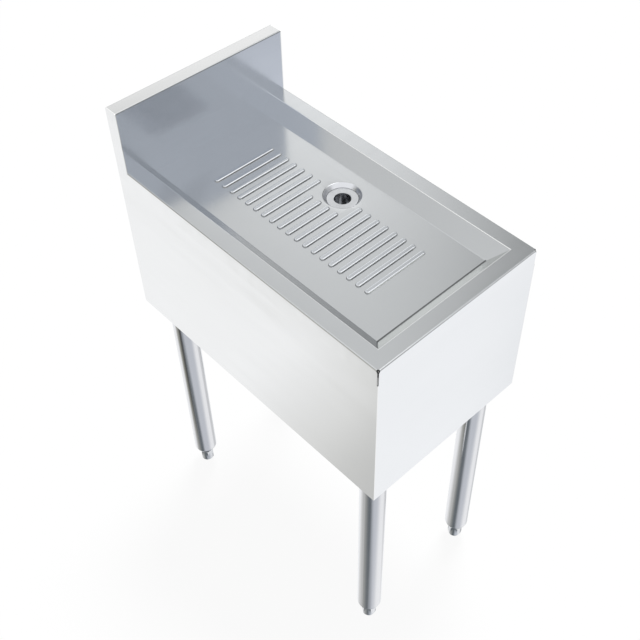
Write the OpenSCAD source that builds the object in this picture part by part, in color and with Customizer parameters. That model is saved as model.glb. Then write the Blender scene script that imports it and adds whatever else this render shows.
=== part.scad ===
// Narrow underbar drainboard: a pressed steel deck with a shallow ribbed pan and a small open
// drain, a low backsplash, a deep apron on three sides, a closed back, and four tubular legs on
// screw feet. Millimetres. X runs across, Y from front to back, Z up.
// The origin is on the floor, under the centre of the body.

/* [Body] */
// Width across the side panels
body_w = 304.8; // [280:0.1:460]
// Depth from the front apron to the back of the backsplash
body_d = 539.75; // [480:0.05:620]
// Height of the deck's rim above the floor, with the feet at rest
work_h = 740; // [700:1:780]
// Height of the side and front panels, from the deck's rim down
apron_h = 289; // [230:1:320]
// Thickness of the sheet steel
sheet_t = 1.2; // [0.9:0.1:1.5]
// Width of the inward lip along the free edges of the panels
lip_w = 14; // [10:1:18]

/* [Backsplash] */
// Height of the backsplash above the rim
splash_h = 104.8; // [75:0.1:180]
// Thickness of the backsplash from front to back
splash_t = 24; // [20:0.5:32]
// Height of its turned-down edge at the back
splash_lip_h = 20; // [14:1:30]

/* [Pan] */
// Width of the flat rim on the left, right and front
rim_w = 25.4; // [18:0.1:30]
// Depth of the pan below the rim, and the run of its 45 degree walls
pan_h = 22.2; // [15:0.1:30]
// Height of the deck's turned-down edge
edge_h = 28; // [24:1:32]
// Outer radius of the fold along the deck's edge
edge_r = 2; // [1.6:0.1:3]
// Radius of the fold where the rim turns down into the pan
mouth_r = 1.6; // [1.3:0.1:3]
// Inner radius of the fold along the pan's floor
floor_r = 1.4; // [0.6:0.1:4]

/* [Ribs] */
// Number of embossed ribs
rib_count = 19; // [12:1:19]
// Distance from one rib to the next
rib_pitch = 17.52; // [15:0.01:17.6]
// Length of a full rib over its round ends
rib_len = 114.3; // [90:0.1:150]
// Width of a rib at the pan's floor
rib_w = 8.9; // [7:0.1:10]
// Height of a rib above the pan's floor
rib_h = 2.5; // [2:0.1:3]
// Radius of a rib's upper edges
rib_r = 2; // [1.5:0.1:2.4]
// Slope of a rib's sides, in degrees
rib_slope = 65; // [50:1:75]
// How far the middle of the ribs lies behind the drain
rib_shift = 2.8; // [0:0.1:3]
// How much shorter the ribs beside the drain are
rib_cut = 31.5; // [25:0.5:50]
// Number of full ribs behind the drain
ribs_behind = 7; // [3:1:8]
// Number of shortened ribs beside the drain
ribs_beside = 4; // [4:2:6]

/* [Drain] */
// Distance of the drain to the right of the centre line
drain_x = 58; // [50:0.5:70]
// Diameter of the drain cup at the pan's floor
cup_d = 57.2; // [50:0.1:64]
// Diameter of the flat bottom of the cup
cup_floor_d = 48.4; // [44:0.1:50]
// Depth of the cup down to the drain flange
cup_h = 6.4; // [4:0.1:9]
// Bore of the drain
drain_bore_d = 25.4; // [20:0.1:28]
// Outside diameter of the drain's threaded tailpiece
tail_d = 33.2; // [31:0.1:34]
// Length of the tailpiece below the drain flange
tail_len = 52; // [40:1:80]

/* [Legs] */
// Outside diameter of a leg tube
tube_d = 41.275; // [38:0.025:45]
// Wall of a leg tube
tube_wall = 1.65; // [1.2:0.05:2.5]
// Height of the lower end of the tubes above the floor
tube_foot_z = 45.4; // [40:0.1:60]
// Leg axis from the side of the body
leg_side = 38.9; // [36:0.1:60]
// Axis of the front legs from the front of the body
leg_front = 38.7; // [36:0.1:80]
// Axis of the rear legs from the back of the body
leg_rear = 44.9; // [40:0.1:90]
// Depth of the leg channels below the rim
channel_drop = 198; // [140:1:210]
// Height of the flanges of the leg channels
channel_h = 26; // [20:1:34]
// Thickness of the channel steel
channel_t = 1.9; // [1.5:0.1:2.5]

/* [Feet] */
// Height of a foot's hexagonal body
foot_h = 28; // [24:1:32]
// Width of the hexagon across its flats
foot_flats = 22.2; // [19:0.1:24]
// Diameter of the threaded stud
stud_d = 12.7; // [10:0.1:14]
// Length of the stud above the foot
stud_len = 52; // [45:1:60]

/* [Hidden] */
$fn = 48;
SMALL = 0.01;
FOLD_STEPS = 4;
RIB_STEPS = 3;

half_w = body_w / 2;
front_y = -body_d / 2;
back_y = body_d / 2;
splash_y = back_y - splash_t;
body_z = work_h - apron_h;
seam_z = work_h - edge_h;
top_z = work_h + splash_h;
inner_w = half_w - sheet_t;

// The pan's floor and its middle, where the drain is
floor_z = work_h - pan_h;
floor_front_y = front_y + rim_w + pan_h;
drain_y = (floor_front_y + splash_y) / 2;

// Half the width of a rib's flat top, and the place of the rib farthest back
rib_side_run = (rib_h - rib_r * (1 - cos(rib_slope))) / tan(rib_slope);
rib_flat = rib_w / 2 - rib_r * sin(rib_slope) - rib_side_run;
rib_first_y = drain_y + rib_shift + (ribs_behind + ribs_beside / 2 - 0.5) * rib_pitch;

// The slit and the relief hole at the two front corners of the deck
relief_r = 1.9;
relief_at = 1.1;
relief_h = 4;
slit_w = 1.5;

// Drain stack, from the flange down
flange_t = 1.6;
flange_r = cup_floor_d / 2 - 0.3;
flange_z = floor_z - cup_h;
seat_z = flange_z - flange_t;
cup_under_z = seat_z - sheet_t;
tail_hole_r = tail_d / 2 + 0.3;
gasket_t = 3;
washer_t = 1.5;
nut_t = 8;
nut_flats = 46;
clamp_r = 25;
washer_z = cup_under_z - gasket_t - washer_t;
nut_z = washer_z - nut_t;
tail_z = flange_z - tail_len;
outlet_z = nut_z - 2;
shank_r = tail_d / 2 - 1;
foot_tab_w = 12;

// Leg channels and sockets
channel_z = work_h - channel_drop;
channel_half = leg_side - sheet_t;
channel_front_y = front_y + sheet_t;
channel_back_y = back_y - 2 * sheet_t;
channel_tab_h = 18;
plate_t = 3;
plate_w = 66;
plate_cut = 12;
collar_h = 55;
collar_r = tube_d / 2 + 3.2;
collar_bore_r = tube_d / 2 + 0.15;
socket_z = channel_z - plate_t;
rib_plate_t = 3;
rib_plate_h = 30;
screw_z = socket_z - 36;
screw_r = 3.95;
screw_bore_r = 4;
screw_len = 11;
boss_r = 7.5;
boss_end = collar_r + 4.5;

// Legs and feet
tube_top_z = socket_z - 1;
tube_r = tube_d / 2;
tube_bore_r = tube_r - tube_wall;
insert_lip_t = 2.4;
insert_lip_r = tube_r - 0.8;
insert_plug_h = 24;
insert_plug_r = tube_bore_r - 0.05;
insert_z = tube_foot_z - insert_lip_t;
stud_r = stud_d / 2;
insert_bore_r = stud_r + 0.05;
hex_r = foot_flats / sqrt(3);
foot_flat_r = 7.2;
foot_round_h = 8;
hex_chamfer = 1.3;

LEFT = -1;
RIGHT = 1;
front_leg_y = front_y + leg_front;
rear_leg_y = back_y - leg_rear;
leg_x = half_w - leg_side;

// ---- shared shapes ----

// Points of an arc from angle a0 to a1
function arc(c, r, a0, a1) =
    [for (i = [0:FOLD_STEPS]) let (a = a0 + (a1 - a0) * i / FOLD_STEPS) c + r * [cos(a), sin(a)]];

// Mirror image of a list of points, in reverse order
function mirrored(pts) = [for (i = [len(pts) - 1:-1:0]) [-pts[i][0], pts[i][1]]];

// One side of a pan's outline, mouth first: rim, fold, 45 degree wall, fold, floor.
// u is the mouth's place, z the rim's height. The outline lies d below the top face.
function pan_side(u, z, d) =
    let (mouth = max(mouth_r - d, 0.05), toe = floor_r + d, shift = d * (sqrt(2) - 1))
    let (mouth_run = mouth * tan(22.5), toe_run = toe * tan(22.5))
    let (foot_u = u + pan_h - shift, top = z - d, low = z - pan_h - d)
    concat(
        [[u - shift - mouth_run, work_h + 1]],
        arc([u - shift - mouth_run, top - mouth], mouth, 90, 45),
        arc([foot_u + toe_run, low + toe], toe, 225, 270)
    );

// Hollow above the pan's face, or above its underside when d is the sheet's thickness
module pan_hollow(d) {
    across = pan_side(-half_w + rim_w, work_h, d);
    along = pan_side(front_y + rim_w, work_h, d);
    intersection() {
        translate([0, back_y, 0])
            rotate([90, 0, 0])
                linear_extrude(body_d)
                    polygon(concat(across, mirrored(across)));
        translate([-half_w, 0, 0])
            rotate([90, 0, 90])
                linear_extrude(body_w)
                    polygon(concat(along, [[back_y, work_h - pan_h - d], [back_y, work_h + 1]]));
    }
}

// Block under the deck with folded edges on the left, right and front, d inside its outer faces
module edged_block(d, low) {
    r = edge_r - d;
    top = work_h - d;
    side = arc([-half_w + d + r, top - r], r, 180, 90);
    front = arc([front_y + d + r, top - r], r, 180, 90);
    intersection() {
        translate([0, back_y, 0])
            rotate([90, 0, 0])
                linear_extrude(body_d)
                    polygon(concat([[-half_w + d, low]], side, mirrored(side), [[half_w - d, low]]));
        translate([-half_w, 0, 0])
            rotate([90, 0, 90])
                linear_extrude(body_w)
                    polygon(concat([[front_y + d, low]], front, [[back_y, top], [back_y, low]]));
    }
}

// One side of a rib's cross-section drawn in by d, from inside the sheet up to the flat top:
// distance from the rib's middle line, and height above the pan's floor
function rib_side(d) =
    let (
        r = rib_r - d,
        edge = [for (i = [RIB_STEPS:-1:0]) let (a = rib_slope * i / RIB_STEPS)
            [rib_flat + r * sin(a), rib_h - d - r * (1 - cos(a))]],
        low = d > 0 ? -sheet_t - 1 : -sheet_t / 2
    )
    concat([[edge[0][0] + (edge[0][1] - low) / tan(rib_slope), low]], edge);

// Rib with round ends, its straight part from x0 to x1
module rib(x0, x1, d) {
    side = rib_side(d);
    half = concat([[0, side[0][1]]], side, [[0, rib_h - d]]);
    translate([x0, 0, 0])
        rotate([90, 0, 90])
            linear_extrude(x1 - x0)
                polygon(concat(side, mirrored(side)));
    translate([x0, 0, 0]) rotate([0, 0, 90]) rotate_extrude(angle = 180) polygon(half);
    translate([x1, 0, 0]) rotate([0, 0, -90]) rotate_extrude(angle = 180) polygon(half);
}

module ribs(d) {
    end_x = rib_len / 2 - rib_w / 2;
    for (i = [0:rib_count - 1]) {
        beside = i >= ribs_behind && i < ribs_behind + ribs_beside;
        translate([0, rib_first_y - i * rib_pitch, floor_z])
            rib(-end_x, end_x - (beside ? rib_cut : 0), d);
    }
}

// Places something on each leg's axis
module at_leg(side, y) {
    translate([side * leg_x, y, 0]) children();
}

// Ring from z0 to z1
module ring(r_out, r_in, z0, z1) {
    translate([0, 0, z0])
        difference() {
            cylinder(r = r_out, h = z1 - z0);
            translate([0, 0, -SMALL]) cylinder(r = r_in, h = z1 - z0 + 2 * SMALL);
        }
}

// ---- deck ----

// Cup around the drain, pressed down from the pan's floor: its hollow, or its outer form
module drain_cup(d) {
    slope_r = cup_floor_d / 2 + d;
    mouth_top = cup_d / 2 + 1.4;
    low = seat_z - d;
    translate([drain_x, drain_y, 0])
        rotate_extrude()
            polygon([
                [0, floor_z + (d > 0 ? -sheet_t / 2 : 1)],
                [mouth_top + d, floor_z + (d > 0 ? -sheet_t / 2 : 1)],
                [mouth_top + d, floor_z - d * 0.6],
                [cup_d / 2 + 0.2 + d, floor_z - 0.45 - d * 0.6],
                [cup_d / 2 - 0.7 + d, floor_z - 1.3 - d * 0.6],
                [slope_r, flange_z - d * 0.4],
                [slope_r, low],
                [0, low]
            ]);
}

module corner_relief(side) {
    translate([side * half_w, front_y, 0]) {
        translate([-side * relief_at, relief_at, work_h - relief_h]) cylinder(r = relief_r, h = relief_h + 1);
        translate([-slit_w, -slit_w, seam_z - 1]) cube([2 * slit_w, 2 * slit_w, edge_h - relief_h + 2]);
    }
}

module drain_deck() {
    color("#b9bdc2")
        difference() {
            union() {
                difference() {
                    edged_block(0, seam_z);
                    pan_hollow(0);
                    difference() {
                        edged_block(sheet_t, seam_z - 1);
                        pan_hollow(sheet_t);
                    }
                }
                ribs(0);
                drain_cup(sheet_t);
            }
            translate([-half_w - 1, splash_y, seam_z - 2]) cube([body_w + 2, splash_t + 1, edge_h + 4]);
            ribs(sheet_t);
            drain_cup(0);
            translate([drain_x, drain_y, seat_z - 5]) cylinder(r = tail_hole_r, h = 10);
            for (side = [LEFT, RIGHT]) corner_relief(side);
        }
}

// ---- backsplash and panels ----

// Face, rounded top and turned-down back edge, with a tab under the pan's floor
module backsplash() {
    inner_r = edge_r - sheet_t;
    outer_face = concat(
        [[splash_y, floor_z - sheet_t]],
        arc([splash_y + edge_r, top_z - edge_r], edge_r, 180, 90),
        arc([back_y - edge_r, top_z - edge_r], edge_r, 90, 0),
        [[back_y, top_z - splash_lip_h], [back_y - sheet_t, top_z - splash_lip_h]]
    );
    inner_face = concat(
        arc([back_y - edge_r, top_z - edge_r], inner_r, 0, 90),
        arc([splash_y + edge_r, top_z - edge_r], inner_r, 90, 180),
        [[splash_y + sheet_t, floor_z - sheet_t]]
    );
    color("#a9afb8") {
        translate([-inner_w, 0, 0])
            rotate([90, 0, 90])
                linear_extrude(2 * inner_w)
                    polygon(concat(outer_face, inner_face));
        tab_half = half_w - rim_w - pan_h - 3;
        translate([-tab_half, splash_y - foot_tab_w, floor_z - 2 * sheet_t])
            cube([2 * tab_half, foot_tab_w + sheet_t, sheet_t]);
    }
}

// Side panel: apron and backsplash end in one sheet, with lips at the bottom and the back
module side_panel() {
    color("#e4e6e8") {
        translate([-half_w, 0, 0])
            rotate([90, 0, 90])
                linear_extrude(sheet_t)
                    polygon(concat(
                        [[front_y, body_z], [back_y, body_z]],
                        arc([back_y - edge_r, top_z - edge_r], edge_r, 0, 90),
                        arc([splash_y + edge_r, top_z - edge_r], edge_r, 90, 180),
                        [[splash_y, seam_z], [front_y, seam_z]]
                    ));
        translate([-inner_w - SMALL, front_y + sheet_t, body_z])
            cube([lip_w - sheet_t, body_d - sheet_t, sheet_t]);
        translate([-inner_w - SMALL, back_y - sheet_t, body_z])
            cube([lip_w - sheet_t, sheet_t, top_z - splash_lip_h - body_z]);
    }
}

module left_side_panel() {
    side_panel();
}

module right_side_panel() {
    mirror([1, 0, 0]) side_panel();
}

module front_apron() {
    lip_half = half_w - lip_w - 0.3;
    color("#dfe3e7") {
        translate([-inner_w, front_y, body_z]) cube([2 * inner_w, sheet_t, apron_h - edge_h]);
        translate([-lip_half, front_y + SMALL, body_z]) cube([2 * lip_half, lip_w - SMALL, sheet_t]);
    }
}

module rear_panel() {
    low = body_z + sheet_t;
    high = top_z - splash_lip_h / 3;
    outer = back_y - sheet_t;
    color("#d4d7da") {
        translate([-inner_w, outer - sheet_t, low]) cube([2 * inner_w, sheet_t, high - low]);
        translate([-inner_w, outer - lip_w, low]) cube([2 * inner_w, lip_w - SMALL, sheet_t]);
    }
}

// ---- leg channels and sockets ----

// Channel from front to back, open downwards, with a welding tab up at each end
module leg_channel(side) {
    run = channel_back_y - channel_front_y;
    color("#aeb3b8")
        translate([side * leg_x, channel_front_y, 0]) {
            translate([-channel_half, 0, channel_z]) cube([2 * channel_half, run, channel_t]);
            for (s = [LEFT, RIGHT])
                translate([s * (channel_half - channel_t / 2), run / 2, channel_z + channel_t - channel_h / 2])
                    cube([channel_t, run, channel_h], center = true);
            for (y = [0, run - channel_t])
                translate([-channel_half, y, channel_z])
                    cube([2 * channel_half, channel_t, channel_tab_h]);
        }
}

module left_leg_channel() {
    leg_channel(LEFT);
}

module right_leg_channel() {
    leg_channel(RIGHT);
}

// Plate with cut corners, collar, four webs and a boss for the set screw that faces inwards
module leg_socket(side, y) {
    half_plate = plate_w / 2;
    web = [[collar_r - 1, socket_z], [half_plate - 1, socket_z], [collar_r - 1, socket_z - rib_plate_h]];
    color("#9da2a7")
        at_leg(side, y)
            difference() {
                union() {
                    translate([0, 0, socket_z])
                        linear_extrude(plate_t)
                            intersection() {
                                square(plate_w, center = true);
                                rotate(45) square(plate_w * sqrt(2) - plate_cut, center = true);
                            }
                    translate([0, 0, socket_z - collar_h]) cylinder(r = collar_r, h = collar_h + SMALL);
                    for (a = [0:90:270])
                        rotate([0, 0, a])
                            translate([0, rib_plate_t / 2, 0])
                                rotate([90, 0, 0])
                                    linear_extrude(rib_plate_t)
                                        polygon(web);
                    translate([0, 0, screw_z]) rotate([0, -side * 90, 0]) cylinder(r = boss_r, h = boss_end);
                }
                translate([0, 0, socket_z - collar_h - 1]) cylinder(r = collar_bore_r, h = collar_h + 1);
                translate([0, 0, screw_z]) rotate([0, -side * 90, 0]) cylinder(r = screw_bore_r, h = boss_end + 1);
            }
}

// Set screw with a hexagonal recess, its point against the tube
module socket_screw(side) {
    recess_r = 2.3;
    recess_h = 4;
    translate([0, 0, screw_z])
        rotate([0, -side * 90, 0])
            translate([0, 0, tube_r + 0.05])
                difference() {
                    cylinder(r = screw_r, h = screw_len);
                    translate([0, 0, screw_len - recess_h]) cylinder(r = recess_r, h = recess_h + 1, $fn = 6);
                }
}

module socket_screws() {
    color("#3c3f43")
        for (side = [LEFT, RIGHT], y = [front_leg_y, rear_leg_y])
            at_leg(side, y) socket_screw(side);
}

// ---- drain ----

// The tailpiece is at its thread's major radius below the locknut, where a drain pipe screws on,
// and at its minor radius above
module drain_body() {
    lip = 1.2;
    color("#b4b8bd")
        translate([drain_x, drain_y, 0])
            rotate_extrude()
                polygon([
                    [drain_bore_d / 2, tail_z],
                    [tail_d / 2 - lip, tail_z],
                    [tail_d / 2, tail_z + lip],
                    [tail_d / 2, outlet_z],
                    [shank_r, outlet_z + tail_d / 2 - shank_r],
                    [shank_r, seat_z],
                    [flange_r, seat_z],
                    [flange_r, flange_z - 0.5],
                    [flange_r - 0.5, flange_z],
                    [drain_bore_d / 2 + 0.6, flange_z],
                    [drain_bore_d / 2, flange_z - 0.6]
                ]);
}

module drain_gasket() {
    color("#1d1e20")
        translate([drain_x, drain_y, 0])
            ring(clamp_r, tail_d / 2 + 0.2, cup_under_z - gasket_t, cup_under_z);
}

module drain_washer() {
    color("#c8cbce")
        translate([drain_x, drain_y, 0])
            ring(clamp_r, tail_d / 2 + 0.2, washer_z, washer_z + washer_t);
}

module drain_locknut() {
    color("#b08d4f")
        translate([drain_x, drain_y, nut_z])
            difference() {
                cylinder(r = nut_flats / sqrt(3), h = nut_t, $fn = 6);
                translate([0, 0, -1]) cylinder(r = shank_r + 0.05, h = nut_t + 2);
            }
}

// ---- legs and feet ----

module leg_tube(side, y) {
    color("#b9bcc4") at_leg(side, y) ring(tube_r, tube_bore_r, tube_foot_z, tube_top_z);
}

// Plug pressed into the tube's lower end, with a lip below it and a threaded bore
module foot_insert(side, y) {
    color("#8b9096")
        at_leg(side, y)
            difference() {
                union() {
                    translate([0, 0, insert_z]) cylinder(r = insert_lip_r, h = insert_lip_t);
                    translate([0, 0, insert_z]) cylinder(r = insert_plug_r, h = insert_lip_t + insert_plug_h);
                }
                translate([0, 0, insert_z - 1])
                    cylinder(r = insert_bore_r, h = insert_lip_t + insert_plug_h + 2);
            }
}

module foot_stud(side, y) {
    point = 1;
    color("#a5a9ad")
        at_leg(side, y)
            translate([0, 0, foot_h]) {
                cylinder(r = stud_r, h = stud_len - point);
                translate([0, 0, stud_len - point - SMALL]) cylinder(r1 = stud_r, r2 = stud_r - point, h = point);
            }
}

// Hexagon with its upper corners turned off and its lower end rounded to a flat pad
module foot(side, y) {
    edge = hex_r + 0.1;
    drop = edge - foot_flat_r;
    color("#7d8288")
        at_leg(side, y)
            intersection() {
                cylinder(r = hex_r, h = foot_h, $fn = 6);
                rotate_extrude()
                    polygon(concat(
                        [[0, 0], [foot_flat_r, 0]],
                        [for (i = [1:6]) let (a = 90 * i / 6)
                            [foot_flat_r + drop * sin(a), foot_round_h * (1 - cos(a))]],
                        [[edge, foot_h - hex_chamfer], [hex_r - hex_chamfer * 1.6, foot_h], [0, foot_h]]
                    ));
            }
}

drain_deck();
backsplash();
left_side_panel();
right_side_panel();
front_apron();
rear_panel();
left_leg_channel();
right_leg_channel();
drain_body();
drain_gasket();
drain_washer();
drain_locknut();
leg_socket(LEFT, front_leg_y);  // leg_socket_front_left
leg_socket(RIGHT, front_leg_y);  // leg_socket_front_right
leg_socket(LEFT, rear_leg_y);  // leg_socket_rear_left
leg_socket(RIGHT, rear_leg_y);  // leg_socket_rear_right
socket_screws();
leg_tube(LEFT, front_leg_y);  // leg_tube_front_left
leg_tube(RIGHT, front_leg_y);  // leg_tube_front_right
leg_tube(LEFT, rear_leg_y);  // leg_tube_rear_left
leg_tube(RIGHT, rear_leg_y);  // leg_tube_rear_right
foot_insert(LEFT, front_leg_y);  // foot_insert_front_left
foot_insert(RIGHT, front_leg_y);  // foot_insert_front_right
foot_insert(LEFT, rear_leg_y);  // foot_insert_rear_left
foot_insert(RIGHT, rear_leg_y);  // foot_insert_rear_right
foot_stud(LEFT, front_leg_y);  // foot_stud_front_left
foot_stud(RIGHT, front_leg_y);  // foot_stud_front_right
foot_stud(LEFT, rear_leg_y);  // foot_stud_rear_left
foot_stud(RIGHT, rear_leg_y);  // foot_stud_rear_right
foot(LEFT, front_leg_y);  // foot_front_left
foot(RIGHT, front_leg_y);  // foot_front_right
foot(LEFT, rear_leg_y);  // foot_rear_left
foot(RIGHT, rear_leg_y);  // foot_rear_right
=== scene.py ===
import math

import bmesh
import bpy
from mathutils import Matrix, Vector


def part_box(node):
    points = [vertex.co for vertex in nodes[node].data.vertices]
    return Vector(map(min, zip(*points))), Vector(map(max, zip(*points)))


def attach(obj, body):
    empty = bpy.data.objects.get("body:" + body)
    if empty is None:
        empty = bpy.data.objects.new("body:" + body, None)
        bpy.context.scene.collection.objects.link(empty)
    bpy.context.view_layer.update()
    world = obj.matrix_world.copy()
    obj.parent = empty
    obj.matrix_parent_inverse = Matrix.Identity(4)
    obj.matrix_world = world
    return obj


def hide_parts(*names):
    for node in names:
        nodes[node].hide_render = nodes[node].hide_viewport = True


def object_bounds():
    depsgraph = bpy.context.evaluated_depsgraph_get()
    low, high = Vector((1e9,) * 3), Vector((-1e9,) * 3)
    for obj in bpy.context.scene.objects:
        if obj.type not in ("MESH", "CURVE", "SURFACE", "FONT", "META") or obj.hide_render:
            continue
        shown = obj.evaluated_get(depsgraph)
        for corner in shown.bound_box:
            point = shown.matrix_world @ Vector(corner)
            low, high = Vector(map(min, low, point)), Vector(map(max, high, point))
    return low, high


# Looks of a narrow drainboard in brushed steel, under a plain studio. Sizes and places are in metres.

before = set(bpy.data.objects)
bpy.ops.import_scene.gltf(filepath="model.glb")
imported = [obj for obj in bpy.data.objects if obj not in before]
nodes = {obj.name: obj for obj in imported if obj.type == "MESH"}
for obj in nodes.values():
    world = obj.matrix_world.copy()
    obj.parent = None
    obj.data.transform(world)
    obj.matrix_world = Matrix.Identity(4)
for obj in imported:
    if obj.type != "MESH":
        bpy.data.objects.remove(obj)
cad_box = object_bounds()

scene = bpy.context.scene


def middle_of(name):
    """Middle of a CAD node's box."""
    return [(a + b) / 2 for a, b in zip(*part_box(name))]


# ---- camera: the photo's own view, of 640 by 640 pixels, fitted to the object's corners ----

IMAGE_PX = 640
SENSOR_MM = 36
FOCAL_PX = 1005.96
CENTRE_PX = (347.0, 298.8)
CAMERA_AT = (-0.70905, -0.79239, 1.68597)
CAMERA_AZIMUTH = -43.984
CAMERA_ELEVATION = 46.951


def direction(azimuth, elevation):
    """Unit vector from the object towards a camera or lamp at these angles, in degrees."""
    a, e = math.radians(azimuth), math.radians(elevation)
    return Vector((math.sin(a) * math.cos(e), -math.cos(a) * math.cos(e), math.sin(e)))


def make_camera():
    data = bpy.data.cameras.new("camera")
    data.sensor_width = SENSOR_MM
    data.lens = FOCAL_PX * SENSOR_MM / IMAGE_PX
    data.shift_x = (IMAGE_PX / 2 - CENTRE_PX[0]) / IMAGE_PX
    data.shift_y = (CENTRE_PX[1] - IMAGE_PX / 2) / IMAGE_PX
    data.clip_start = 0.01
    data.clip_end = 100
    camera = bpy.data.objects.new("camera", data)
    camera.location = CAMERA_AT
    camera.rotation_mode = "QUATERNION"
    camera.rotation_quaternion = direction(CAMERA_AZIMUTH, CAMERA_ELEVATION).to_track_quat("Z", "Y")
    scene.collection.objects.link(camera)
    scene.camera = camera


# ---- shader helpers ----

class Graph:
    """Adds shader nodes to one tree. An input given as a socket is linked, anything else is set."""

    def __init__(self, tree):
        self.tree = tree
        tree.nodes.clear()

    def add(self, kind, inputs=None, **settings):
        node = self.tree.nodes.new(kind)
        for name, value in settings.items():
            setattr(node, name, value)
        for name, value in (inputs or {}).items():
            if isinstance(value, bpy.types.NodeSocket):
                self.tree.links.new(value, node.inputs[name])
            else:
                node.inputs[name].default_value = value
        return node

    def math(self, operation, a, b=0.0, clamp=False):
        return self.add("ShaderNodeMath", {0: a, 1: b}, operation=operation, use_clamp=clamp).outputs[0]

    def difference(self, a, b):
        return self.math("SUBTRACT", a, b)

    def size(self, value):
        return self.math("ABSOLUTE", value)

    def above(self, value, limit):
        return self.math("GREATER_THAN", value, limit)

    def below(self, value, limit):
        return self.math("LESS_THAN", value, limit)

    def both(self, mask, other):
        return self.math("MULTIPLY", mask, other)

    def between(self, value, limits):
        return self.both(self.above(value, limits[0]), self.below(value, limits[1]))

    def within(self, x, y, centre, reach):
        """1 within reach of a centre in the plane of two coordinates."""
        squares = [self.math("POWER", self.difference(a, b), 2) for a, b in zip((x, y), centre)]
        return self.below(self.math("ADD", *squares), reach ** 2)

    def scaled_noise(self, coordinates, scale, detail=3):
        """Noise from 0 to 1 with a scale of its own along each axis, in features a metre."""
        stretched = self.add("ShaderNodeMapping", {"Vector": coordinates, "Scale": scale}).outputs[0]
        noise = self.add("ShaderNodeTexNoise", {
            "Vector": stretched, "Scale": 1.0, "Detail": detail, "Roughness": 0.55})
        return noise.outputs["Fac"]

    def remap(self, value, low, high, from_low=0.3, from_high=0.7):
        """value from its own span to low..high, clamped. Noise mostly lies in the span given here."""
        node = self.add("ShaderNodeMapRange", {
            "Value": value, "From Min": from_low, "From Max": from_high, "To Min": low, "To Max": high})
        return node.outputs[0]

    def mix_color(self, factor, a, b):
        node = self.add("ShaderNodeMix", {"Factor": factor, 6: a, 7: b}, data_type="RGBA")
        return node.outputs[2]


def rgba(color, gain=1.0):
    return tuple(c * gain for c in color) + (1.0,)


def new_material(name):
    material = bpy.data.materials.new(name)
    material.use_nodes = True
    return material, Graph(material.node_tree)


# ---- metals and rubber ----

# Scales of the patterns, in features a metre
GRAIN_ALONG = 14
GRAIN_ACROSS = 1500
SMEAR_ALONG = 6
SMEAR_ACROSS = 40
HANDLING = 9
FINE_GRIT = 880
DULL_PATCHES = 35

# What the patterns do: a gain on the tone, a change in roughness, and a height with its strength. Where
# handling patches and smears meet, their product lies in HANDLING_SPAN.
GRAIN_GAIN = (0.988, 1.012)
GRAIN_ROUGHER = (-0.02, 0.02)
GRAIN_HEIGHT = 0.0001
GRAIN_BUMP = 0.015
HANDLING_SPAN = (0.1, 0.45)
HANDLING_ROUGHER = (-0.02, 0.05)
PATCH_GAIN = (0.86, 1.08)
GRIT_ROUGHER = (-0.06, 0.06)
GRIT_HEIGHT = 0.0002


def along(axis, scale_along, scale_across):
    """Scale of a pattern that runs along X, Y or Z."""
    return tuple(scale_along if a == axis else scale_across for a in "XYZ")


def brushed_metal(name, color, roughness, grain, soil=0.015, areas=None):
    """Steel sheet: fine grain along one axis and slow patches of handling.
    areas gives a mask, a tone and a change in roughness for each area that looks different."""
    material, g = new_material(name)
    place = g.add("ShaderNodeTexCoord").outputs["Object"]
    lines = g.scaled_noise(place, along(grain, GRAIN_ALONG, GRAIN_ACROSS), detail=4)
    patches = g.scaled_noise(place, (HANDLING,) * 3)
    smears = g.scaled_noise(place, along(grain, SMEAR_ALONG, SMEAR_ACROSS), detail=2)
    tone = g.mix_color(g.remap(patches, 0, 1), rgba(color, 1 - soil), rgba(color, 1 + soil / 2))
    fine = g.remap(lines, *GRAIN_ROUGHER)
    slow = g.remap(g.math("MULTIPLY", patches, smears), *HANDLING_ROUGHER, *HANDLING_SPAN)
    rough = g.math("ADD", g.math("ADD", fine, slow), roughness)
    if areas:
        normal = g.add("ShaderNodeNewGeometry").outputs["True Normal"]
        facing = g.add("ShaderNodeSeparateXYZ", {0: normal}).outputs
        at = g.add("ShaderNodeSeparateXYZ", {0: place}).outputs
        for mask, area_color, rougher in areas(g, at, facing):
            tone = g.mix_color(mask, tone, rgba(area_color))
            if rougher:
                rough = g.math("ADD", rough, g.math("MULTIPLY", mask, rougher))
    streaked = g.add("ShaderNodeHueSaturation", {"Color": tone, "Value": g.remap(lines, *GRAIN_GAIN)})
    bump = g.add("ShaderNodeBump", {"Strength": GRAIN_BUMP, "Distance": GRAIN_HEIGHT, "Height": lines})
    shader = g.add("ShaderNodeBsdfPrincipled", {
        "Base Color": streaked.outputs[0], "Metallic": 1.0, "Roughness": rough, "Normal": bump.outputs[0]})
    g.add("ShaderNodeOutputMaterial", {"Surface": shader.outputs[0]})
    return material


def plain_surface(name, color, roughness, metallic=1.0, bump=0.15):
    """Cast, plated, welded or rubber surface: one tone with fine grit and slow patches."""
    material, g = new_material(name)
    place = g.add("ShaderNodeTexCoord").outputs["Object"]
    fine = g.scaled_noise(place, (FINE_GRIT,) * 3, detail=4)
    patches = g.scaled_noise(place, (DULL_PATCHES,) * 3)
    tone = g.mix_color(g.remap(patches, 0, 1), *[rgba(color, gain) for gain in PATCH_GAIN])
    rough = g.math("ADD", g.remap(fine, *GRIT_ROUGHER), roughness)
    pitted = g.add("ShaderNodeBump", {"Strength": bump, "Distance": GRIT_HEIGHT, "Height": fine}).outputs[0]
    shader = g.add("ShaderNodeBsdfPrincipled", {
        "Base Color": tone, "Metallic": metallic, "Roughness": rough, "Normal": pitted})
    g.add("ShaderNodeOutputMaterial", {"Surface": shader.outputs[0]})
    return material


# ---- tones ----

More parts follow.
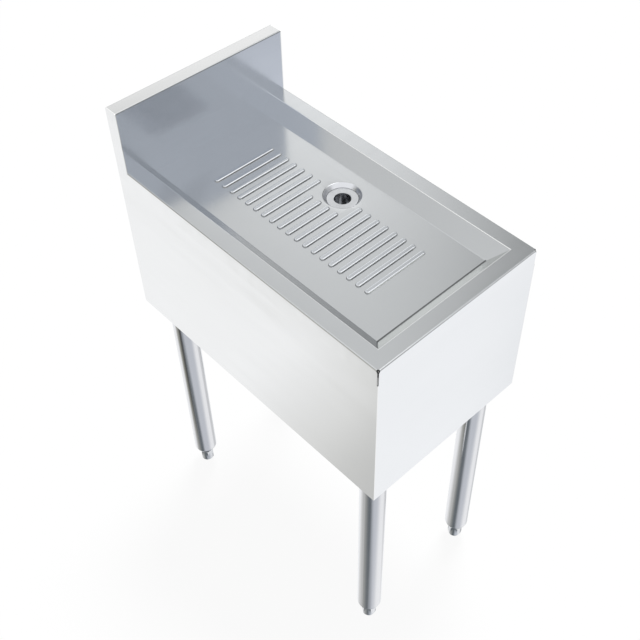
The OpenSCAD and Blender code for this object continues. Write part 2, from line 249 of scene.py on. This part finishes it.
# The panels and the apron are paler than the deck's steel: a painted sheen of the bright floor they face. The
# deck's outer skirt takes the same tones.
PANEL_SHEEN_TONE = (0.905, 0.905, 0.895)
APRON_SHEEN_TONE = (0.88, 0.89, 0.9)
BACK_TONE = (0.78, 0.785, 0.79)
DECK_TONE = (0.64, 0.652, 0.665)
# The sheets' inner faces: rougher mill finish, with a darker tone that is painted shade.
LINING_SHADE_TONE = (0.4, 0.41, 0.42)
# The pan's front wall is painted lighter and its left wall darker: painted light and shade.
FRONT_WALL_LIT_TONE = (0.69, 0.704, 0.68)
LEFT_WALL_SHADE_TONE = (0.61, 0.622, 0.632)
# Ribs: painted shade on the steep sides, darkest at the rear, and a bright painted highlight on the rear
# folds.
RIB_SIDE_SHADE_TONE = (0.325, 0.33, 0.335)
RIB_REAR_SIDE_SHADE_TONE = (0.08, 0.08, 0.085)
RIB_FOLD_TONE = (0.645, 0.66, 0.69)
RIB_REAR_FOLD_HIGHLIGHT_TONE = (0.79, 0.81, 0.84)
RIB_TOP_TONE = (0.595, 0.613, 0.64)
# Painted highlight along the pan's mouth fold.
MOUTH_HIGHLIGHT_TONE = (0.92, 0.92, 0.92)
# The drain cup's bright tone is a painted reflection, and its darker sides are painted shade.
CUP_REFLECTION_TONE = (0.8, 0.81, 0.85)
CUP_SIDE_SHADE_TONE = (0.4, 0.405, 0.42)
# Painted shade at the foot of the front wall and in the corner relief holes.
FOOT_LINE_SHADE_TONE = (0.16, 0.165, 0.17)
SLIT_SHADE_TONE = (0.09, 0.09, 0.093)
# The splash face is darker and bluer than the deck: a painted reflection. Its folds are painted shade, and
# its darker patch is a painted reflection.
SPLASH_REFLECTION_TONE = (0.605, 0.643, 0.712)
SPLASH_TOP_TONE = (0.69, 0.69, 0.69)
SPLASH_FOLD_SHADE_TONE = (0.45, 0.46, 0.47)
DARK_REFLECTION_TONE = (0.46, 0.489, 0.541)
TUBE_TONE = (0.80, 0.80, 0.81)
MILL_TONE = (0.56, 0.58, 0.60)
CAST_TONE = (0.48, 0.50, 0.52)
PLATED_TONE = (0.55, 0.56, 0.58)
NICKEL_TONE = (0.74, 0.75, 0.77)
DRAIN_TONE = (0.66, 0.67, 0.69)
BRASS_TONE = (0.62, 0.48, 0.25)
BLACK_OXIDE_TONE = (0.05, 0.05, 0.055)
RUBBER_TONE = (0.03, 0.03, 0.035)
WELD_TONE = (0.75, 0.74, 0.72)

PANEL_ROUGH = 0.11
DECK_ROUGH = 0.18
LINING_ROUGHER = 0.25
CUP_SIDE_ROUGHER = 0.05


# ---- areas of the sheets that look different ----

# The deck's own sizes
SHEET = 0.0012
RIM = 0.0254
PAN_DEPTH = 0.0222
SKIRT_DROP = 0.028
RIB_HEIGHT = 0.0025
RIM_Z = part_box("drain_deck")[1][2]
PAN_Z = RIM_Z - PAN_DEPTH

# Heights of the areas
RIB_FIELD_Z = (PAN_Z + 0.0003, PAN_Z + RIB_HEIGHT + 0.00001)
RIB_TOP_Z = (PAN_Z + RIB_HEIGHT - 0.0001, PAN_Z + RIB_HEIGHT + 0.0001)
MOUTH_Z = (RIM_Z - 0.0006, RIM_Z - 0.00002)
CUP_TOP_Z = PAN_Z - 0.0004
SKIRT_FOOT_Z = RIM_Z - SKIRT_DROP - 0.0005

# How far in from the outline the skirt ends, the slit's edges end and the pan's mouth begins
SKIRT_EDGE = 0.0006
SKIRT_BLEND = 0.0004
SLIT_EDGE = 0.00003
MOUTH_FROM_EDGE = 0.02

# Painted shade line at the foot of the pan's front wall
FOOT_LINE_Y = cad_box[0][1] + RIM + PAN_DEPTH + 0.0007
FOOT_LINE_X = cad_box[1][0] - RIM - PAN_DEPTH + 0.0004
FOOT_LINE_HALF = 0.0011
FOOT_LINE_BLEND = 0.0003

# The drain's cup, the level direction in which its painted shade is darkest and how far out that starts and
# is full
DRAIN_AT = middle_of("drain_body")[:2]
CUP_REACH = 0.0295
CUP_SIDES = (0.72, -0.695)
CUP_SIDES_FROM = (0.015, 0.025)

# Corner relief holes, with painted shade round them
RELIEF_FROM_CORNER = 0.0011
RELIEF_REACH = 0.0026

# The splash's darker patch, a painted reflection: its middle in X and Z, how far it shifts to the left for
# each metre up, the half widths at which it is full and gone, the heights at which it starts and is full, and
# its strength
DARK_REFLECTION_AT = (-0.058, RIM_Z + 0.06)
DARK_REFLECTION_SLANT = 0.66
DARK_REFLECTION_HALF = (0.028, 0.056)
DARK_REFLECTION_FOOT = (RIM_Z + 0.028, RIM_Z + 0.052)
DARK_REFLECTION_SHARE = 0.5

# Upward part of a face's normal
WALL_RISING = (0.5, 0.9)
RIB_SIDE_RISING = (0.45, 0.62)
RIB_FOLD_RISING = (0.72, 0.985)
LINING_RISING = 0.3
SPLASH_TOP_RISING = (0.75, 0.95)
SPLASH_FOLD_RISING = (0.15, 0.97)

# Level part of the normal of a face that counts as turned that way
TURNED = 0.5


def depth_in_box(g, at):
    """Distance in from the nearer of the box's side, front and back faces."""
    beside = g.difference(cad_box[1][0], g.size(at[0]))
    before = g.difference(at[1], cad_box[0][1])
    behind = g.difference(cad_box[1][1], at[1])
    return g.math("MINIMUM", beside, g.math("MINIMUM", before, behind))


def rib_areas(g, at, facing):
    """Painted shade at the steep sides, darkest at the rear, folds a little bluer and darker tops. The rear
    folds carry a bright painted highlight."""
    rising = facing[2]
    in_field = g.between(at[2], RIB_FIELD_Z)
    sides = g.both(g.remap(g.size(rising), 1, 0, *RIB_SIDE_RISING), in_field)
    folds = g.both(in_field, g.between(rising, RIB_FOLD_RISING))
    rear_folds = g.both(folds, g.above(facing[1], 0))
    tops = g.both(g.between(at[2], RIB_TOP_Z), g.above(rising, RIB_FOLD_RISING[1]))
    rear_sides = g.both(in_field, g.both(g.above(facing[1], TURNED), g.below(rising, RIB_FOLD_RISING[0])))
    return [(sides, RIB_SIDE_SHADE_TONE, 0), (folds, RIB_FOLD_TONE, 0), (rear_folds, RIB_REAR_FOLD_HIGHLIGHT_TONE, 0),
            (tops, RIB_TOP_TONE, 0), (rear_sides, RIB_REAR_SIDE_SHADE_TONE, 0)]


def wall_areas(g, depth, facing):
    """The pan's sloping front and left walls, painted lighter and darker by the way each faces: painted light
    and shade.
    """
    wall = g.both(g.between(depth, (RIM, RIM + PAN_DEPTH)), g.between(facing[2], WALL_RISING))
    return [(g.both(wall, g.above(facing[1], TURNED)), FRONT_WALL_LIT_TONE, 0),
            (g.both(wall, g.above(facing[0], TURNED)), LEFT_WALL_SHADE_TONE, 0)]


def cup_areas(g, at):
    """The cup is painted bright, a painted reflection, and less so at two sides, where it carries painted
    shade.
    """
    cup = g.both(g.within(at[0], at[1], DRAIN_AT, CUP_REACH), g.below(at[2], CUP_TOP_Z))
    across = [g.math("MULTIPLY", g.difference(at[i], DRAIN_AT[i]), CUP_SIDES[i]) for i in (0, 1)]
    from_middle = g.size(g.math("ADD", *across))
    sides = g.both(cup, g.remap(from_middle, 0, 1, *CUP_SIDES_FROM))
    return [(cup, CUP_REFLECTION_TONE, 0), (sides, CUP_SIDE_SHADE_TONE, CUP_SIDE_ROUGHER)]


def deck_areas(g, at, facing):
    """The outer skirt is as pale as the panels below it, a painted sheen, the pan's mouth carries a painted
    highlight and the sheet's lining is rougher mill finish, darkened as painted shade. Painted shade lies
    along the foot of the front wall and in the corner reliefs."""
    depth = depth_in_box(g, at)
    skirt = g.remap(depth, 1, 0, SKIRT_EDGE - SKIRT_BLEND, SKIRT_EDGE)
    front_skirt = g.both(skirt, g.below(facing[1], -TURNED))
    mouth = g.both(g.between(at[2], MOUTH_Z), g.above(depth, MOUTH_FROM_EDGE))
    from_line = g.size(g.difference(at[1], FOOT_LINE_Y))
    foot_line = g.both(g.remap(from_line, 1, 0, FOOT_LINE_HALF - FOOT_LINE_BLEND, FOOT_LINE_HALF),
                       g.below(g.size(at[0]), FOOT_LINE_X))
    lining = g.both(g.above(depth, SKIRT_EDGE), g.below(facing[2], LINING_RISING))
    corner = (cad_box[1][0] - RELIEF_FROM_CORNER, cad_box[0][1] + RELIEF_FROM_CORNER)
    relief = g.both(g.within(g.size(at[0]), at[1], corner, RELIEF_REACH), g.above(depth, SLIT_EDGE))
    return [*rib_areas(g, at, facing), *wall_areas(g, depth, facing),
            (skirt, PANEL_SHEEN_TONE, PANEL_ROUGH - DECK_ROUGH), (front_skirt, APRON_SHEEN_TONE, 0), *cup_areas(g, at),
            (mouth, MOUTH_HIGHLIGHT_TONE, 0), (foot_line, FOOT_LINE_SHADE_TONE, 0),
            (lining, LINING_SHADE_TONE, LINING_ROUGHER), (relief, SLIT_SHADE_TONE, LINING_ROUGHER)]


def splash_areas(g, at, facing):
    """The face is darker and bluer than the deck, a painted reflection, with a soft darker patch at its upper
    left, also a painted reflection. The top return and the lip down the back are paler than the face, and the
    folds are darker, painted shade."""
    aslant = g.math("ADD", at[0], g.math("MULTIPLY", g.difference(at[2], DARK_REFLECTION_AT[1]), DARK_REFLECTION_SLANT))
    beside = g.size(g.difference(aslant, DARK_REFLECTION_AT[0]))
    dark_reflection = g.both(g.remap(beside, DARK_REFLECTION_SHARE, 0, *DARK_REFLECTION_HALF), g.remap(at[2], 0, 1, *DARK_REFLECTION_FOOT))
    top = g.remap(g.size(facing[2]), 0, 1, *SPLASH_TOP_RISING)
    folds = g.between(facing[2], SPLASH_FOLD_RISING)
    behind = g.above(facing[1], TURNED)
    return [(dark_reflection, DARK_REFLECTION_TONE, 0), (top, SPLASH_TOP_TONE, 0), (folds, SPLASH_FOLD_SHADE_TONE, 0),
            (behind, BACK_TONE, 0)]


def panel_areas(g, at, facing):
    """The faces inside the body are rougher mill finish, darkened as painted shade."""
    inside = g.both(g.above(depth_in_box(g, at), SKIRT_EDGE), g.below(at[2], SKIRT_FOOT_Z))
    return [(inside, LINING_SHADE_TONE, LINING_ROUGHER)]


# ---- materials of the CAD nodes ----

CORNERS = ("front_left", "front_right", "rear_left", "rear_right")


def at_corners(prefix):
    return [prefix + corner for corner in CORNERS]


def dress(material, *names):
    for name in names:
        slots = nodes[name].data.materials
        slots.clear()
        slots.append(material)


def dress_body():
    dress(brushed_metal("deck_steel", DECK_TONE, DECK_ROUGH, "X", areas=deck_areas), "drain_deck")
    dress(brushed_metal("splash_steel", SPLASH_REFLECTION_TONE, DECK_ROUGH, "X", areas=splash_areas), "backsplash")
    side = brushed_metal("panel_steel", PANEL_SHEEN_TONE, PANEL_ROUGH, "Y", areas=panel_areas)
    dress(side, "left_side_panel", "right_side_panel")
    dress(brushed_metal("apron_steel", APRON_SHEEN_TONE, PANEL_ROUGH, "X", areas=panel_areas), "front_apron")
    dress(brushed_metal("back_steel", BACK_TONE, DECK_ROUGH, "X"), "rear_panel")


def dress_underside():
    channel = brushed_metal("channel_steel", MILL_TONE, 0.42, "Y", soil=0.12)
    dress(channel, "left_leg_channel", "right_leg_channel")
    dress(plain_surface("washer_steel", MILL_TONE, 0.38), "drain_washer")
    dress(plain_surface("gasket_rubber", RUBBER_TONE, 0.65, metallic=0.0), "drain_gasket")
    dress(plain_surface("locknut_brass", BRASS_TONE, 0.35), "drain_locknut")
    dress(plain_surface("black_oxide", BLACK_OXIDE_TONE, 0.4, metallic=0.6), "socket_screws")
    dress(plain_surface("cast_socket", CAST_TONE, 0.5, bump=0.4), *at_corners("leg_socket_"))


def dress_legs():
    dress(brushed_metal("tube_steel", TUBE_TONE, 0.12, "Z"), *at_corners("leg_tube_"))
    dress(plain_surface("insert_metal", PLATED_TONE, 0.3), *at_corners("foot_insert_"))
    dress(plain_surface("foot_nickel", NICKEL_TONE, 0.12, bump=0.04), *at_corners("foot_"))


# ---- added pieces: threads and welds ----

NO_AREA = 0.00001
MERGE_WITHIN = 0.000004


def add_piece(name, form, material, body):
    """Makes a piece of a finished form. It rides on one of the CAD bodies."""
    bmesh.ops.recalc_face_normals(form, faces=form.faces)
    mesh = bpy.data.meshes.new(name)
    form.to_mesh(mesh)
    form.free()
    mesh.materials.append(material)
    piece = bpy.data.objects.new(name, mesh)
    scene.collection.objects.link(piece)
    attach(piece, body)
    return piece


def turned_form(axis_at, rows, steps):
    """Form turned about an upright axis. A row is a radius and a height, or gives them for each share
    of a turn. Rows that meet make no face there."""
    form = bmesh.new()
    rings = []
    for row in rows:
        ring = []
        for i in range(steps + 1):
            radius, z = row(i / steps) if callable(row) else row
            angle = math.tau * i / steps
            x, y = axis_at[0] + radius * math.cos(angle), axis_at[1] + radius * math.sin(angle)
            ring.append(form.verts.new((x, y, z)))
        rings.append(ring)
    for lower, upper in zip(rings, rings[1:]):
        for i in range(steps):
            near, far = (lower[i], upper[i]), (lower[i + 1], upper[i + 1])
            if sum((a.co - b.co).length for a, b in (near, far)) > NO_AREA:
                form.faces.new((near[0], far[0], far[1], near[1]))
    bmesh.ops.remove_doubles(form, verts=form.verts, dist=MERGE_WITHIN)
    return form


# Each corner of the thread's outline, as a share of the pitch and of the depth
THREAD_FORM = ((0.0, 0.0), (0.125, 0.0), (0.4375, 1.0), (0.6875, 1.0), (1.0, 0.0))


def thread_cut(phase):
    """Share of the thread's depth that is cut away at this share of the pitch."""
    for (start, first), (end, last) in zip(THREAD_FORM, THREAD_FORM[1:]):
        if phase <= end:
            return first + (last - first) * (phase - start) / (end - start)
    return 0.0


def thread_rows(radius, depth, pitch, low, high):
    """Rows of a right-hand thread. Each gives a radius and a height for a share of a turn."""
    def row(rise):
        def at_turn(turn):
            z = min(max(low + (rise + turn) * pitch, low), high)
            return radius - depth * thread_cut(((z - low) / pitch - turn) % 1.0), z
        return at_turn

    turns = math.ceil((high - low) / pitch)
    return [row(k + start) for k in range(-1, turns + 1) for start, _ in THREAD_FORM[:-1]]


INCH = 0.0254
STUD_PITCH = INCH / 13
STUD_DEPTH = 0.0012
STUD_POINT = 0.001
STUD_STEPS = 24


def make_studs():
    """Threaded studs in the place of the CAD's plain ones, with a point at the upper end."""
    zinc = plain_surface("stud_zinc", PLATED_TONE, 0.28)
    made = []
    for corner in CORNERS:
        plain = "foot_stud_" + corner
        low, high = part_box(plain)
        radius = (high[0] - low[0]) / 2
        rows = [(0.0, low[2])]
        rows += thread_rows(radius, STUD_DEPTH, STUD_PITCH, low[2], high[2] - STUD_POINT)
        rows += [(radius - STUD_DEPTH - STUD_POINT, high[2]), (0.0, high[2])]
        form = turned_form(middle_of(plain), rows, STUD_STEPS)
        piece = add_piece("threaded_stud_" + corner, form, zinc, "stud_" + corner)
        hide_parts(plain)
        made.append(piece)
    return made


# Sizes of the drain. Its pipe thread ends 2 mm below the locknut
DRAIN_PITCH = INCH / 11.5
DRAIN_BORE = INCH / 2
DRAIN_SHANK = 0.0156
DRAIN_THREAD = 0.0166
DRAIN_THREAD_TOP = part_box("drain_locknut")[0][2] - 0.002
DRAIN_LIP = 0.0012
DRAIN_RUN_OUT = 0.001
FLANGE = 0.0016
FLANGE_CHAMFER = 0.0005
BORE_CHAMFER = 0.0006
DRAIN_STEPS = 96


def make_drain():
    """The flange, the bore and the pipe thread on the tailpiece below the locknut."""
    low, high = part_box("drain_body")
    flange_r = (high[0] - low[0]) / 2
    top, seat = high[2], high[2] - FLANGE
    rows = [(DRAIN_BORE, low[2]), (DRAIN_THREAD - DRAIN_LIP, low[2])]
    rows += thread_rows(DRAIN_THREAD, DRAIN_THREAD - DRAIN_SHANK, DRAIN_PITCH, low[2] + DRAIN_LIP,
                        DRAIN_THREAD_TOP)
    rows += [(DRAIN_SHANK, DRAIN_THREAD_TOP + DRAIN_RUN_OUT), (DRAIN_SHANK, seat), (flange_r, seat)]
    rows += [(flange_r, top - FLANGE_CHAMFER), (flange_r - FLANGE_CHAMFER, top)]
    rows += [(DRAIN_BORE + BORE_CHAMFER, top), (DRAIN_BORE, top - BORE_CHAMFER), (DRAIN_BORE, low[2])]
    metal = plain_surface("drain_metal", DRAIN_TONE, 0.22, bump=0.03)
    form = turned_form(DRAIN_AT, rows, DRAIN_STEPS)
    piece = add_piece("threaded_drain_body", form, metal, "stand")
    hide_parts("drain_body")
    return [piece]


WELD_LEG = 0.006
WELD_Z = (RIM_Z - 0.0135, RIM_Z - 0.002)
WELD_SAG = 0.35
WELD_STEPS = 8


def make_corner_welds():
    """A fillet weld stands inside each front corner of the deck's turned-down edge, under the relief
    hole. Its outline runs along both sheets and sags between them."""
    outline = [Vector((0, 0))]
    for i in range(WELD_STEPS + 1):
        share = i / WELD_STEPS
        dip = WELD_SAG * WELD_LEG * share * (1 - share)
        outline.append(Vector((WELD_LEG * (1 - share) - dip, WELD_LEG * share - dip)))
    weld = plain_surface("weld_tint", WELD_TONE, 0.4, bump=0.5)
    made = []
    for side, name in ((-1, "left"), (1, "right")):
        corner = Vector((side * (cad_box[1][0] - SHEET), cad_box[0][1] + SHEET))
        form = bmesh.new()
        ends = [[form.verts.new((corner.x - side * p.x, corner.y + p.y, z)) for p in outline] for z in WELD_Z]
        for i in range(len(outline)):
            j = (i + 1) % len(outline)
            form.faces.new((ends[0][i], ends[0][j], ends[1][j], ends[1][i]))
        for end in ends:
            form.faces.new(end)
        made.append(add_piece("corner_weld_" + name, form, weld, "stand"))
    return made


SMOOTH_BELOW = math.radians(34)
SEAM_WITHIN = 0.00001


def soften_folds(pieces):
    """Folds and round faces shade smoothly; corners sharper than SMOOTH_BELOW stay crisp."""
    for piece in pieces:
        piece.data.polygons.foreach_set("use_smooth", [True] * len(piece.data.polygons))
        weld = piece.modifiers.new("weld", "WELD")
        weld.merge_threshold = SEAM_WITHIN
        split = piece.modifiers.new("corners", "EDGE_SPLIT")
        split.split_angle = SMOOTH_BELOW
        weigh = piece.modifiers.new("weigh", "WEIGHTED_NORMAL")
        weigh.mode = "FACE_AREA"
        weigh.weight = 50


# ---- studio ----

# The floor lies just below the feet. The camera sees it as this share of plain white, and the rest as lit
FLOOR_TONE = (0.93, 0.93, 0.93)
FLOOR_SEEN_WHITE = 0.93
FLOOR_HALF = 30
FLOOR_Z = -0.0003

# Light that reaches the floor from the dome and from the key lamp, as shares of what makes it white
DOME_ON_FLOOR = 0.3
KEY_ON_FLOOR = 0.78
KEY_AZIMUTH = 115
KEY_ELEVATION = 68
KEY_SPREAD = 18

# The pale studio that metal shows: its plain upper and lower half
STUDIO_ABOVE = (0.93, 0.94, 0.94)
STUDIO_BELOW = (0.96, 0.97, 0.99)
HORIZON_BLEND = 0.2
METAL_SEES_WHITE = 0.1
NEUTRAL = (1.0, 1.0, 1.0)
BLUER = (1.0, 0.955, 0.86)
YELLOWER = (0.97, 0.985, 1.06)

# Brighter and dimmer parts of that studio. Each is full inside its core and fades out at its reach, in
# degrees. A dimmer part takes its tint away, so the one called BLUER leaves more blue.
SOFT_REGIONS = (
    {"azimuth": 136, "elevation": 36, "reach": 18, "core": 1, "gain": 0.34, "tint": NEUTRAL},
    {"azimuth": 104, "elevation": 38, "reach": 26, "core": 12, "gain": -0.73, "tint": NEUTRAL},
    {"azimuth": 147, "elevation": 46, "reach": 14, "core": 4, "gain": -0.66, "tint": NEUTRAL},
    {"azimuth": 150, "elevation": 46, "reach": 15, "core": 8, "gain": 0.27, "tint": NEUTRAL},
    {"azimuth": -143, "elevation": 37, "reach": 24, "core": 21, "gain": -0.18, "tint": NEUTRAL},
    {"azimuth": 130, "elevation": 12, "reach": 18, "core": 9, "gain": -0.5, "tint": NEUTRAL},
    {"azimuth": 75, "elevation": 66, "reach": 20, "core": 8, "gain": 1.5, "tint": NEUTRAL},
    {"azimuth": 30, "elevation": -6, "reach": 30, "core": 16, "gain": -0.75, "tint": NEUTRAL},
    {"azimuth": 35, "elevation": 32, "reach": 24, "core": 12, "gain": -0.1, "tint": NEUTRAL},
    {"azimuth": 37, "elevation": -31, "reach": 14, "core": 5, "gain": -0.1, "tint": NEUTRAL},
    {"azimuth": -172, "elevation": 64, "reach": 12, "core": 5, "gain": 0.6, "tint": NEUTRAL},
    {"azimuth": 143, "elevation": 23, "reach": 9, "core": 3, "gain": 0.15, "tint": NEUTRAL},
    {"azimuth": 152, "elevation": 2, "reach": 13, "core": 6, "gain": -0.4, "tint": NEUTRAL},
    {"azimuth": -142, "elevation": 8, "reach": 20, "core": 10, "gain": -0.5, "tint": NEUTRAL},
    {"azimuth": -82, "elevation": -60, "reach": 19, "core": 7, "gain": -0.26, "tint": YELLOWER},
    {"azimuth": -111, "elevation": -16, "reach": 41, "core": 34, "gain": -0.55, "tint": YELLOWER},
    {"azimuth": -44, "elevation": -27, "reach": 60, "core": 34, "gain": -0.4, "tint": BLUER},
    {"azimuth": -100, "elevation": -73, "reach": 30, "core": 22, "gain": -0.28, "tint": YELLOWER},
    {"azimuth": -122, "elevation": -61, "reach": 11, "core": 6, "gain": -0.17, "tint": NEUTRAL},
    {"azimuth": 85, "elevation": -47, "reach": 20, "core": 8, "gain": -0.33, "tint": NEUTRAL},
)


def backdrop_share(g, camera, glossy):
    """How much of the plain white backdrop a ray sees, instead of the lit surface."""
    path = g.add("ShaderNodeLightPath").outputs
    seen = g.math("MULTIPLY", path["Is Camera Ray"], camera)
    mirrored = g.math("MULTIPLY", path["Is Glossy Ray"], glossy)
    through = g.math("MULTIPLY", path["Is Transmission Ray"], camera)
    return g.math("ADD", g.math("ADD", seen, mirrored), through, clamp=True)


def make_floor():
    mesh = bpy.data.meshes.new("floor")
    form = bmesh.new()
    bmesh.ops.create_grid(form, x_segments=8, y_segments=8, size=FLOOR_HALF)
    form.to_mesh(mesh)
    form.free()
    floor = bpy.data.objects.new("floor", mesh)
    floor.location.z = FLOOR_Z
    scene.collection.objects.link(floor)
    material, g = new_material("floor_white")
    lit = g.add("ShaderNodeBsdfDiffuse", {"Color": rgba(FLOOR_TONE)}).outputs[0]
    white = g.add("ShaderNodeEmission", {"Color": (1, 1, 1, 1), "Strength": 1.0}).outputs[0]
    share = backdrop_share(g, camera=FLOOR_SEEN_WHITE, glossy=0.0)
    mixed = g.add("ShaderNodeMixShader", {0: share, 1: lit, 2: white}).outputs[0]
    g.add("ShaderNodeOutputMaterial", {"Surface": mixed})
    mesh.materials.append(material)
    floor.visible_glossy = False


def studio_in_metal(g):
    """Colour of the studio in each direction, as metal shows it."""
    looking = g.add("ShaderNodeTexCoord").outputs["Generated"]
    height = g.add("ShaderNodeSeparateXYZ", {0: looking}).outputs[2]
    upper = g.remap(height, 0, 1, -HORIZON_BLEND, HORIZON_BLEND)
    total = g.mix_color(upper, rgba(STUDIO_BELOW), rgba(STUDIO_ABOVE))
    for region in SOFT_REGIONS:
        centre = direction(region["azimuth"], region["elevation"])
        towards = g.add("ShaderNodeVectorMath", {0: looking, 1: centre}, operation="DOT_PRODUCT")
        shape = g.add("ShaderNodeMapRange", {
            "Value": towards.outputs["Value"], "To Min": 0.0, "To Max": region["gain"],
            "From Min": math.cos(math.radians(region["reach"])),
            "From Max": math.cos(math.radians(region["core"]))}, interpolation_type="SMOOTHSTEP")
        change = {0: region["tint"], "Scale": shape.outputs[0]}
        tinted = g.add("ShaderNodeVectorMath", change, operation="SCALE").outputs[0]
        total = g.add("ShaderNodeVectorMath", {0: total, 1: tinted}, operation="ADD").outputs[0]
    return g.add("ShaderNodeVectorMath", {0: total, 1: (0.0, 0.0, 0.0)}, operation="MAXIMUM").outputs[0]


def make_world():
    world = bpy.data.worlds.new("studio")
    world.use_nodes = True
    scene.world = world
    g = Graph(world.node_tree)
    on_floor = g.add("ShaderNodeLightPath").outputs["Is Diffuse Ray"]
    dome = g.mix_color(on_floor, studio_in_metal(g), rgba((1, 1, 1), DOME_ON_FLOOR))
    dome = g.add("ShaderNodeBackground", {"Color": dome, "Strength": 1.0}).outputs[0]
    white = g.add("ShaderNodeBackground", {"Color": (1, 1, 1, 1), "Strength": 1.0}).outputs[0]
    share = backdrop_share(g, camera=1.0, glossy=METAL_SEES_WHITE)
    mixed = g.add("ShaderNodeMixShader", {0: share, 1: dome, 2: white}).outputs[0]
    g.add("ShaderNodeOutputWorld", {"Surface": mixed})


def make_key():
    """A wide sun that gives the floor the object's soft shadow. Metal doesn't show it."""
    data = bpy.data.lights.new("key", "SUN")
    data.angle = math.radians(KEY_SPREAD)
    data.energy = KEY_ON_FLOOR * math.pi / math.sin(math.radians(KEY_ELEVATION))
    key = bpy.data.objects.new("key", data)
    key.rotation_mode = "QUATERNION"
    key.rotation_quaternion = direction(KEY_AZIMUTH, KEY_ELEVATION).to_track_quat("Z", "Y")
    key.visible_glossy = False
    scene.collection.objects.link(key)


scene.view_settings.view_transform = "Standard"
make_camera()
dress_body()
dress_underside()
dress_legs()
soften_folds(list(nodes.values()) + make_studs() + make_drain() + make_corner_welds())
make_floor()
make_world()
make_key()
